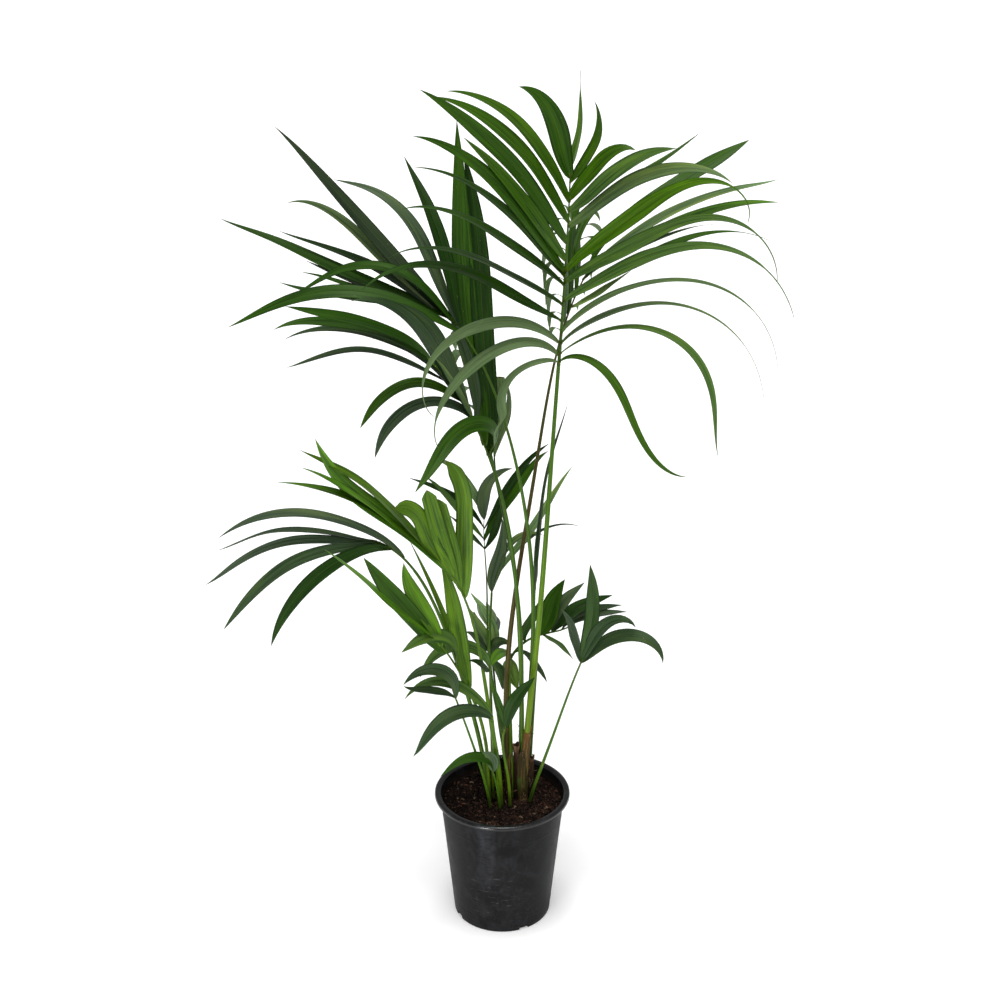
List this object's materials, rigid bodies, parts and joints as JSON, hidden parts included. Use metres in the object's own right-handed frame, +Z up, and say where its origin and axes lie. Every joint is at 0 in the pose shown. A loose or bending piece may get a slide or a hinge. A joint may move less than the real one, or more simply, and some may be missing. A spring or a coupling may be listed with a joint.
{
  "type": "potted kentia palm",
  "caption": "Kentia palm of several slender stems with arching feathery fronds, standing in a plain black plastic nursery pot.",
  "frame": {"origin": "centre of the flat underside of the pot", "axes": "+Z up, along the pot axis; -Y towards the viewer, the side from which the tall frond arches to the right"},
  "size_m": [1.0094, 0.7162, 1.5334],
  "materials": {
    "frond_low_front": "satin green leaflets, paler beneath",
    "frond_low_left": "satin green leaflets, paler beneath",
    "frond_low_middle": "satin green leaflets, paler beneath",
    "frond_low_right": "satin green leaflets, paler beneath",
    "frond_middle_back": "satin green leaflets, paler beneath",
    "frond_middle_dark": "satin green leaflets, paler beneath",
    "frond_middle_left": "satin green leaflets, paler beneath",
    "frond_rear_left": "satin green leaflets, paler beneath",
    "frond_rear_low": "satin green leaflets, paler beneath",
    "frond_rear_right": "satin green leaflets, paler beneath",
    "frond_small_back": "satin green leaflets, paler beneath",
    "frond_small_bright": "satin green leaflets, paler beneath",
    "frond_small_front": "satin green leaflets, paler beneath",
    "frond_small_left": "satin green leaflets, paler beneath",
    "frond_small_left_tall": "satin green leaflets, paler beneath",
    "frond_small_middle": "satin green leaflets, paler beneath",
    "frond_spear_slim": "satin green leaflets, paler beneath",
    "frond_strap_middle": "satin green leaflets, paler beneath",
    "frond_tall_right_low": "satin green leaflets, paler beneath",
    "frond_tall_right_middle": "satin green leaflets, paler beneath",
    "frond_tall_right_top": "satin green leaflets, paler beneath",
    "frond_upper_back": "satin green leaflets, paler beneath",
    "frond_upper_left_low": "satin green leaflets, paler beneath",
    "frond_upper_left_top": "satin green leaflets, paler beneath",
    "frond_upper_middle": "satin green leaflets, paler beneath",
    "pot": "satin charcoal black moulded plastic with fine scuffs",
    "soil": "dark bark compost",
    "stalk_low_front": "smooth green leaf stalk",
    "stalk_low_left": "smooth green leaf stalk",
    "stalk_low_right": "smooth green leaf stalk",
    "stalk_rear_left": "smooth green leaf stalk",
    "stalk_rear_low": "smooth green leaf stalk",
    "stalk_rear_right": "smooth green leaf stalk",
    "stalk_small_bright": "smooth green leaf stalk",
    "stalk_small_front": "smooth green leaf stalk",
    "stalk_small_left": "smooth green leaf stalk",
    "stalk_small_left_tall": "smooth green leaf stalk",
    "stem_low": "smooth green leaf stalk",
    "stem_main": "smooth green stalks above a brown fibrous sheath",
    "stem_second": "smooth green leaf stalk"
  },
  "bodies": {
    "root": {"frond_low_front": "frond_low_front", "frond_low_left": "frond_low_left", "frond_low_middle": "frond_low_middle", "frond_low_right": "frond_low_right", "frond_middle_back": "frond_middle_back", "frond_middle_dark": "frond_middle_dark", "frond_middle_left": "frond_middle_left", "frond_rear_left": "frond_rear_left", "frond_rear_low": "frond_rear_low", "frond_rear_right": "frond_rear_right", "frond_small_back": "frond_small_back", "frond_small_bright": "frond_small_bright", "frond_small_front": "frond_small_front", "frond_small_left": "frond_small_left", "frond_small_left_tall": "frond_small_left_tall", "frond_small_middle": "frond_small_middle", "frond_spear_slim": "frond_spear_slim", "frond_strap_middle": "frond_strap_middle", "frond_tall_right_low": "frond_tall_right_low", "frond_tall_right_middle": "frond_tall_right_middle", "frond_tall_right_top": "frond_tall_right_top", "frond_upper_back": "frond_upper_back", "frond_upper_left_low": "frond_upper_left_low", "frond_upper_left_top": "frond_upper_left_top", "frond_upper_middle": "frond_upper_middle", "pot": "pot", "soil": "soil", "stalk_low_front": "stalk_low_front", "stalk_low_left": "stalk_low_left", "stalk_low_right": "stalk_low_right", "stalk_rear_left": "stalk_rear_left", "stalk_rear_low": "stalk_rear_low", "stalk_rear_right": "stalk_rear_right", "stalk_small_bright": "stalk_small_bright", "stalk_small_front": "stalk_small_front", "stalk_small_left": "stalk_small_left", "stalk_small_left_tall": "stalk_small_left_tall", "stem_low": "stem_low", "stem_main": "stem_main", "stem_second": "stem_second"}
  },
  "joints": []
}
